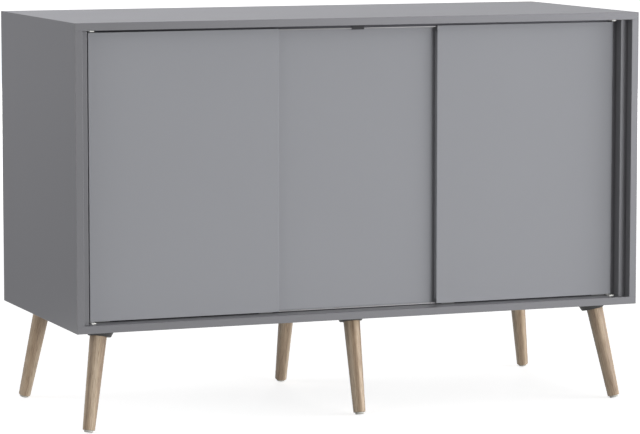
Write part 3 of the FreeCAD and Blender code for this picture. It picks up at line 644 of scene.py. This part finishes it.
class SIDEBOARD_OT_rails(bpy.types.Operator):
    """Aluminium rails with nylon end plates, glides, guides and stop"""

    bl_idname = "sideboard.rails"
    bl_label = "Rails and glides"

    def execute(self, context):
        finish = context.scene.sideboard_finish
        # The web and the crown of each level's rails, with the least and the most roughness. The web's dark
        # colour is painted shade and the crown's pale colour a painted highlight.
        rails = {
            "lower": (
                ("Aluminium, black anodised", finish.lower_web_shade_colour, 0.4, 0.5),
                ("Aluminium, rubbed bright by the glides", finish.lower_crown_highlight_colour, 0.3, 0.42),
            ),
            "upper": (
                ("Aluminium, grey anodised", finish.upper_web_shade_colour, 0.4, 0.5),
                ("Aluminium, rubbed by the guides", finish.upper_crown_highlight_colour, 0.32, 0.45),
            ),
        }
        for level, kinds in rails.items():
            web_shade, crown_highlight = [extruded_aluminium(*kind) for kind in kinds]
            for name in (level + "_rail_front", level + "_rail_rear"):
                dress((name,), web_shade)
                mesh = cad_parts[name].data
                mesh.materials.append(crown_highlight)
                low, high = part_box(name)
                # Faces within the crown height of the running face get the pale crown material, a painted
                # highlight; the other faces keep the dark web material, painted shade.
                for face in mesh.polygons:
                    depth = high.z - face.center.z if level == "lower" else face.center.z - low.z
                    if depth < finish.crown:
                        face.material_index = 1
        nylon = {
            "Nylon, moulded white": (
                ("lower_rail_end_plates", "upper_rail_end_plates"), finish.plate_colour, 0.4
            ),
            # The glides and guides are greyed so they stay dark in the shaded gaps under and over the
            # doors: painted shade.
            "Nylon, greyed by the rails": (
                [door + kind for door in DOORS for kind in ("_glides", "_guides")], finish.shoe_colour, 0.45
            ),
            # The centre stop is black so it stays dark in the shaded gap over the centre door: painted
            # shade.
            "Nylon, moulded black": (("centre_stop",), finish.stop_colour, 0.45),
        }
        for name, (nodes, colour, roughness) in nylon.items():
            dress(nodes, moulded_plastic(name, colour, roughness, grit=0.6, strength=0.1))
        return {"FINISHED"}


class SIDEBOARD_OT_feet(bpy.types.Operator):
    """Plastic wedge discs and foot glides"""

    bl_idname = "sideboard.feet"
    bl_label = "Discs and foot glides"

    def execute(self, context):
        finish = context.scene.sideboard_finish
        dress(
            ["leg_disc_" + place for place in LEG_PLACES],
            moulded_plastic(
                "Polypropylene, moulded dark grey", finish.disc_colour,
                roughness=0.5, grit=0.5, strength=0.25,
            ),
        )
        dress(
            ["foot_glide_" + place for place in LEG_PLACES],
            moulded_plastic(
                "Polyethylene, moulded pale grey", finish.foot_colour,
                roughness=0.5, grit=0.6, strength=0.15,
            ),
        )
        return {"FINISHED"}


# ------------------------------------------------------------------ fasteners
def islands(node):
    """The box of every separate solid in a CAD node, read from a merged copy of its mesh."""
    shell = bmesh.new()
    shell.from_mesh(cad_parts[node].data)
    shell.transform(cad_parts[node].matrix_world)
    bmesh.ops.remove_doubles(shell, verts=shell.verts, dist=SAME_VERTEX)
    left = set(shell.verts)
    boxes = []
    while left:
        found = [left.pop()]
        for vert in found:
            for edge in vert.link_edges:
                other = edge.other_vert(vert)
                if other in left:
                    left.remove(other)
                    found.append(other)
        axes = [sorted(vert.co[i] for vert in found) for i in range(3)]
        boxes.append((Vector(axis[0] for axis in axes), Vector(axis[-1] for axis in axes)))
    shell.free()
    return boxes


def faces_of(boxes, facing):
    """The middle of each box's side that faces out, with that direction."""
    places = []
    for low, high in boxes:
        middle = (low + high) / 2
        out = facing(middle)
        half = (high - low) / 2
        places.append((middle + Vector(out[i] * half[i] for i in range(3)), out))
    return places


def fastener_tree(name, sizes):
    """Nodes that set one fastener, its face at zero and its shank below, on every point."""
    tree = bpy.data.node_groups.new(name, "GeometryNodeTree")
    kinds = {float: "NodeSocketFloat", int: "NodeSocketInt", bool: "NodeSocketBool"}
    sockets = {}
    tree.interface.new_socket(name="Geometry", in_out="INPUT", socket_type="NodeSocketGeometry")
    for label, value in sizes.items():
        kind = kinds.get(type(value), "NodeSocketMaterial")
        sockets[label] = tree.interface.new_socket(name=label, in_out="INPUT", socket_type=kind).identifier
    tree.interface.new_socket(name="Geometry", in_out="OUTPUT", socket_type="NodeSocketGeometry")
    given = add(tree, "NodeGroupInput").outputs
    minus = {"operation": "SUBTRACT"}
    bevel_foot = add(tree, "ShaderNodeMath", {**minus, 0: 0.0}, {1: given["Bevel"]}).outputs[0]
    head_foot = add(tree, "ShaderNodeMath", minus, {0: bevel_foot, 1: given["Head"]}).outputs[0]
    shank_foot = add(tree, "ShaderNodeMath", minus, {0: head_foot, 1: given["Shank"]}).outputs[0]
    stack = (
        (given["Face radius"], given["Head radius"], given["Bevel"], bevel_foot),
        (given["Head radius"], given["Neck radius"], given["Head"], head_foot),
        (given["Shank radius"], given["Shank radius"], given["Shank"], shank_foot),
    )
    turned = []
    for top, bottom, depth, foot in stack:
        size = {"Vertices": given["Sides"], "Radius Top": top, "Radius Bottom": bottom, "Depth": depth}
        cone = add(tree, "GeometryNodeMeshCone", None, size).outputs["Mesh"]
        lift = add(tree, "ShaderNodeCombineXYZ", None, {"Z": foot}).outputs["Vector"]
        lowered = add(tree, "GeometryNodeTransform", None, {"Geometry": cone, "Translation": lift})
        turned.append(lowered.outputs["Geometry"])
    exact = {"solver": "EXACT"}
    joined = add(tree, "GeometryNodeMeshBoolean", {"operation": "UNION", **exact}, {"Mesh 2": turned})
    double = {"operation": "MULTIPLY", 1: 2.0}
    twice = add(tree, "ShaderNodeMath", double, {0: given["Recess depth"]}).outputs[0]
    blocks = []
    for along, across in (("Recess", "Recess width"), ("Recess width", "Cross recess")):
        size = add(tree, "ShaderNodeCombineXYZ", None, {"X": given[along], "Y": given[across], "Z": twice})
        block = add(tree, "GeometryNodeMeshCube", None, {"Size": size.outputs["Vector"]})
        blocks.append(block.outputs["Mesh"])
    solids = {"Mesh 1": joined.outputs["Mesh"], "Mesh 2": blocks}
    cut = add(tree, "GeometryNodeMeshBoolean", {"operation": "DIFFERENCE", **exact}, solids)
    shapes = {"Switch": given["Recessed"], "False": joined.outputs["Mesh"], "True": cut.outputs["Mesh"]}
    shape = add(tree, "GeometryNodeSwitch", {"input_type": "GEOMETRY"}, shapes)
    facing = add(tree, "GeometryNodeInputNamedAttribute", {"data_type": "FLOAT_VECTOR", "Name": "facing"})
    square = add(
        tree, "FunctionNodeAlignRotationToVector", {"axis": "Z"}, {"Vector": facing.outputs["Attribute"]}
    )
    least = add(tree, "ShaderNodeMath", {**minus, 0: 0.0}, {1: given["Most turn"]}).outputs[0]
    limits = {2: least, 3: given["Most turn"], "Seed": given["Seed"]}
    chance = add(tree, "FunctionNodeRandomValue", {"data_type": "FLOAT"}, limits)
    spin = add(
        tree, "FunctionNodeAxisAngleToRotation", {"Axis": (0.0, 0.0, 1.0)}, {"Angle": chance.outputs[1]}
    )
    turns = {"Rotation": square.outputs["Rotation"], "Rotate By": spin.outputs["Rotation"]}
    pose = add(tree, "FunctionNodeRotateRotation", {"rotation_space": "LOCAL"}, turns)
    spread = add(tree, "GeometryNodeInstanceOnPoints", None, {
        "Points": given["Geometry"],
        "Instance": shape.outputs["Output"],
        "Rotation": pose.outputs["Rotation"],
    })
    real = add(tree, "GeometryNodeRealizeInstances", None, {"Geometry": spread.outputs["Instances"]})
    plating = {"Geometry": real.outputs["Geometry"], "Material": given["Material"]}
    painted = add(tree, "GeometryNodeSetMaterial", None, plating)
    add(tree, "NodeGroupOutput", None, {"Geometry": painted.outputs["Geometry"]})
    return tree, sockets


def fasteners(name, node, facing, sizes):
    """One fastener at every solid of a CAD node, as one plain mesh that replaces it."""
    places = faces_of(islands(node), facing)
    points = bpy.data.meshes.new(name + "_points")
    points.from_pydata([place for place, out in places], [], [])
    attribute = points.attributes.new("facing", "FLOAT_VECTOR", "POINT")
    for item, (place, out) in zip(attribute.data, places):
        item.vector = out
    holder = link_piece(name + "_points", points)
    tree, sockets = fastener_tree(name, sizes)
    modifier = holder.modifiers.new("fasteners", "NODES")
    modifier.node_group = tree
    for label, value in sizes.items():
        modifier[sockets[label]] = value
    ready = holder.evaluated_get(bpy.context.evaluated_depsgraph_get())
    mesh = bpy.data.meshes.new_from_object(ready)
    holder.modifiers.remove(modifier)
    bpy.data.objects.remove(holder)
    piece = link_piece(name, mesh)
    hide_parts(node)
    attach(piece, CABINET)


class SIDEBOARD_OT_fasteners(bpy.types.Operator):
    """Zinc plated fasteners and beech dowels"""

    bl_idname = "sideboard.fasteners"
    bl_label = "Fasteners"

    def execute(self, context):
        sizes = context.scene.sideboard_fasteners
        finish = context.scene.sideboard_finish
        plated = plated_steel("Steel, zinc plated", finish.steel_colour)
        dress(("hanger_bolts", "leg_disc_screws", "cam_bolts", "shelf_pins"), plated)
        dress(("dowels",), turned_beech("Beech, dowel", finish.dowel_colour))
        middle = sum(corner.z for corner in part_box("side_left")) / 2
        screw = {
            "Face radius": sizes.screw_head - sizes.screw_rim,
            "Head radius": sizes.screw_head,
            "Neck radius": sizes.screw_shank,
            "Shank radius": sizes.screw_shank,
            "Bevel": sizes.screw_rim,
            "Head": sizes.screw_head - sizes.screw_shank - sizes.screw_rim,
            "Shank": sizes.screw_length - (sizes.screw_head - sizes.screw_shank),
            "Recess": sizes.screw_recess,
            "Cross recess": sizes.screw_recess,
            "Recess width": sizes.screw_recess_width,
            "Recess depth": sizes.screw_recess_depth,
            "Recessed": True,
            "Sides": SCREW_SIDES,
            "Most turn": math.pi,
            "Seed": sizes.seed,
            "Material": plated,
        }
        fasteners(
            "screws_end_plates",
            "end_plate_screws",
            lambda at: Vector((0, 0, 1 if at.z < middle else -1)),
            screw,
        )
        nail = {
            "Face radius": sizes.nail_head - RIM_SLOPE * sizes.bevel,
            "Head radius": sizes.nail_head,
            "Neck radius": sizes.nail_head,
            "Shank radius": sizes.nail_shank,
            "Bevel": sizes.bevel,
            "Head": sizes.nail_thickness - sizes.bevel,
            "Shank": sizes.nail_length,
            **dict.fromkeys(("Recess", "Cross recess", "Recess width", "Recess depth"), 0.0),
            "Recessed": False,
            "Sides": NAIL_SIDES,
            "Most turn": math.pi,
            "Seed": sizes.seed + 1,
            "Material": plated,
        }
        fasteners("nails_back", "back_nails", lambda at: Vector((0, 1, 0)), nail)
        cam = {
            "Face radius": sizes.cam_radius - RIM_SLOPE * sizes.bevel,
            "Head radius": sizes.cam_radius,
            "Neck radius": sizes.cam_radius,
            "Shank radius": sizes.cam_radius - sizes.cam_step,
            "Bevel": sizes.bevel,
            "Head": sizes.cam_cap,
            "Shank": sizes.cam_thickness - sizes.cam_cap - sizes.bevel,
            "Recess": sizes.cam_slot,
            "Cross recess": sizes.cam_cross_slot,
            "Recess width": sizes.cam_slot_width,
            "Recess depth": sizes.cam_slot_depth,
            "Recessed": True,
            "Sides": CAM_SIDES,
            "Most turn": sizes.cam_turn,
            "Seed": sizes.seed + 2,
            "Material": plated,
        }
        fasteners("cams_panels", "cam_discs", lambda at: Vector((1 if at.x < 0 else -1, 0, 0)), cam)
        return {"FINISHED"}


# ------------------------------------------------------------------ stage
def softbox(name, power):
    """A softbox that faces the object. Neither the camera nor gloss sees it: gloss sees the cards."""
    azimuth, distance, height, width, length = SOFTBOXES[name]
    angle = math.radians(azimuth)
    place = Vector((distance * math.sin(angle), -distance * math.cos(angle), height))
    data = bpy.data.lights.new(name, "AREA")
    data.shape = "RECTANGLE"
    data.size = width
    data.size_y = length
    data.energy = power
    lamp = bpy.data.objects.new(name, data)
    lamp.location = place
    lamp.rotation_euler = (Vector(STAGE_MIDDLE) - place).to_track_quat("-Z", "Y").to_euler()
    lamp.visible_camera = False
    lamp.visible_glossy = False
    bpy.context.scene.collection.objects.link(lamp)


def seen_rays(tree):
    """1 for what looks at the background: the camera, gloss and glass."""
    path = add(tree, "ShaderNodeLightPath")
    either = {"operation": "MAXIMUM"}
    rays = {0: path.outputs["Is Camera Ray"], 1: path.outputs["Is Transmission Ray"]}
    clear = add(tree, "ShaderNodeMath", either, rays).outputs[0]
    return add(tree, "ShaderNodeMath", either, {0: clear, 1: path.outputs["Is Glossy Ray"]}).outputs[0]


def studio_world(ambient):
    """White for what looks at the background, a plain grey light for the rest."""
    world = bpy.data.worlds.new("Studio")
    world.use_nodes = True
    tree = world.node_tree
    tree.nodes.clear()
    light = add(tree, "ShaderNodeBackground", {"Color": linear("#ffffff"), "Strength": ambient})
    white = add(tree, "ShaderNodeBackground", {"Color": linear("#ffffff"), "Strength": 1.0})
    sides = {"Fac": seen_rays(tree), 1: light.outputs["Background"], 2: white.outputs["Background"]}
    both = add(tree, "ShaderNodeMixShader", None, sides)
    add(tree, "ShaderNodeOutputWorld", None, {"Surface": both.outputs["Shader"]})
    bpy.context.scene.world = world


def studio_floor(values):
    """A white floor that keeps the object's shadow and throws little light back."""
    mesh = bpy.data.meshes.new("floor")
    sheet = bmesh.new()
    bmesh.ops.create_circle(sheet, cap_ends=True, segments=FLOOR_SEGMENTS, radius=FLOOR_RADIUS)
    sheet.to_mesh(mesh)
    sheet.free()
    material, tree = new_material("Studio paper, white")
    dull = add(tree, "ShaderNodeBsdfDiffuse", {"Color": tuple(values.bounce_colour)})
    paper = add(tree, "ShaderNodeBsdfDiffuse", {"Color": tuple(values.paper_colour)})
    place = add(tree, "ShaderNodeTexCoord").outputs["Object"]
    reach = add(tree, "ShaderNodeVectorMath", {"operation": "LENGTH"}, {0: place}).outputs["Value"]
    rise = {"From Min": values.near_reach, "From Max": values.far_reach}
    rise |= {"To Min": values.near_glow, "To Max": 1.0}
    strength = add(tree, "ShaderNodeMapRange", rise, {"Value": reach}).outputs["Result"]
    glow = add(tree, "ShaderNodeEmission", {"Color": linear("#ffffff")}, {"Strength": strength})
    lit = add(tree, "ShaderNodeAddShader", None, {0: paper.outputs["BSDF"], 1: glow.outputs["Emission"]})
    sides = {"Fac": seen_rays(tree), 1: dull.outputs["BSDF"], 2: lit.outputs["Shader"]}
    both = add(tree, "ShaderNodeMixShader", None, sides)
    add(tree, "ShaderNodeOutputMaterial", None, {"Surface": both.outputs["Shader"]})
    mesh.materials.append(material)
    floor = link_piece("floor", mesh)


def gloss_card(name, values):
    """An upright card that only gloss sees, its radiance changing along X and weaker near the floor."""
    (x0, y0), (x1, y1), height, radiance = CARDS[name]
    mesh = bpy.data.meshes.new(name)
    corners = [(x0, y0, CARD_FOOT), (x1, y1, CARD_FOOT), (x1, y1, height), (x0, y0, height)]
    mesh.from_pydata(corners, [], [(0, 1, 2, 3)])
    material, tree = new_material("Light card, " + name)
    place = add(tree, "ShaderNodeTexCoord").outputs["Object"]
    axes = add(tree, "ShaderNodeSeparateXYZ", None, {"Vector": place}).outputs
    fade = {"From Max": values.low_shine_height, "To Min": values.low_shine, "To Max": 1.0}
    upward = add(tree, "ShaderNodeMapRange", fade, {"Value": axes["Z"]}).outputs["Result"]
    strength = None
    for (low, weak), (high, strong) in zip(radiance, radiance[1:]):
        first = strength is None
        step = {"From Min": low, "From Max": high}
        step["To Min"] = values.shine * weak if first else 0.0
        step["To Max"] = values.shine * (strong if first else strong - weak)
        rise = add(tree, "ShaderNodeMapRange", step, {"Value": axes["X"]}).outputs["Result"]
        if not first:
            rise = add(tree, "ShaderNodeMath", {"operation": "ADD"}, {0: strength, 1: rise}).outputs[0]
        strength = rise
    level = add(tree, "ShaderNodeMath", {"operation": "MULTIPLY"}, {0: strength, 1: upward}).outputs[0]
    glow = add(tree, "ShaderNodeEmission", {"Color": tuple(values.card_colour)}, {"Strength": level})
    add(tree, "ShaderNodeOutputMaterial", None, {"Surface": glow.outputs["Emission"]})
    mesh.materials.append(material)
    card = link_piece(name, mesh)
    for ray in ("camera", "diffuse", "transmission", "shadow"):
        setattr(card, "visible_" + ray, False)


class SIDEBOARD_OT_stage(bpy.types.Operator):
    """Camera, floor, world and lamps"""

    bl_idname = "sideboard.stage"
    bl_label = "Stage"

    def execute(self, context):
        values = context.scene.sideboard_stage
        studio_world(values.ambient)
        studio_floor(values)
        for name in SOFTBOXES:
            softbox(name, getattr(values, name))
        for name in CARDS:
            gloss_card(name, values)
        data = bpy.data.cameras.new("camera")
        data.lens = values.lens
        data.sensor_width = SENSOR_WIDTH
        data.clip_end = SIGHT
        camera = bpy.data.objects.new("camera", data)
        camera.location = values.camera_place
        camera.rotation_euler = (math.radians(90) - values.camera_drop, 0.0, -values.camera_turn)
        context.scene.collection.objects.link(camera)
        context.scene.camera = camera
        context.scene.view_settings.view_transform = "Standard"
        return {"FINISHED"}


class SIDEBOARD_PT_panel(bpy.types.Panel):
    """Buttons and sizes of the sideboard"""

    bl_idname = "SIDEBOARD_PT_panel"
    bl_label = "Sideboard"
    bl_space_type = "VIEW_3D"
    bl_region_type = "UI"
    bl_category = "Sideboard"

    def draw(self, context):
        for group in GROUPS:
            values = getattr(context.scene, group)
            for name in values.bl_rna.properties.keys():
                if name not in ("rna_type", "name"):
                    self.layout.prop(values, name)
        for operator in OPERATORS:
            self.layout.operator(operator.bl_idname)


GROUPS = {
    "sideboard_finish": SideboardFinish,
    "sideboard_legs": SideboardLegs,
    "sideboard_fasteners": SideboardFasteners,
    "sideboard_stage": SideboardStage,
}
OPERATORS = (
    SIDEBOARD_OT_boards,
    SIDEBOARD_OT_doors,
    SIDEBOARD_OT_back,
    SIDEBOARD_OT_rails,
    SIDEBOARD_OT_legs,
    SIDEBOARD_OT_feet,
    SIDEBOARD_OT_fasteners,
    SIDEBOARD_OT_stage,
)


def register():
    """Registers the property groups, the operators and the panel."""
    for name, group in GROUPS.items():
        bpy.utils.register_class(group)
        setattr(bpy.types.Scene, name, PointerProperty(type=group))
    for kind in OPERATORS + (SIDEBOARD_PT_panel,):
        bpy.utils.register_class(kind)


def unregister():
    """Takes back what register added."""
    for kind in (SIDEBOARD_PT_panel,) + OPERATORS[::-1]:
        bpy.utils.unregister_class(kind)
    for name, group in GROUPS.items():
        delattr(bpy.types.Scene, name)
        bpy.utils.unregister_class(group)


def main():
    """Builds everything."""
    register()
    bpy.ops.sideboard.boards()
    bpy.ops.sideboard.doors()
    bpy.ops.sideboard.back()
    bpy.ops.sideboard.rails()
    bpy.ops.sideboard.legs()
    bpy.ops.sideboard.feet()
    bpy.ops.sideboard.fasteners()
    bpy.ops.sideboard.stage()


if __name__ == "__main__":
    main()
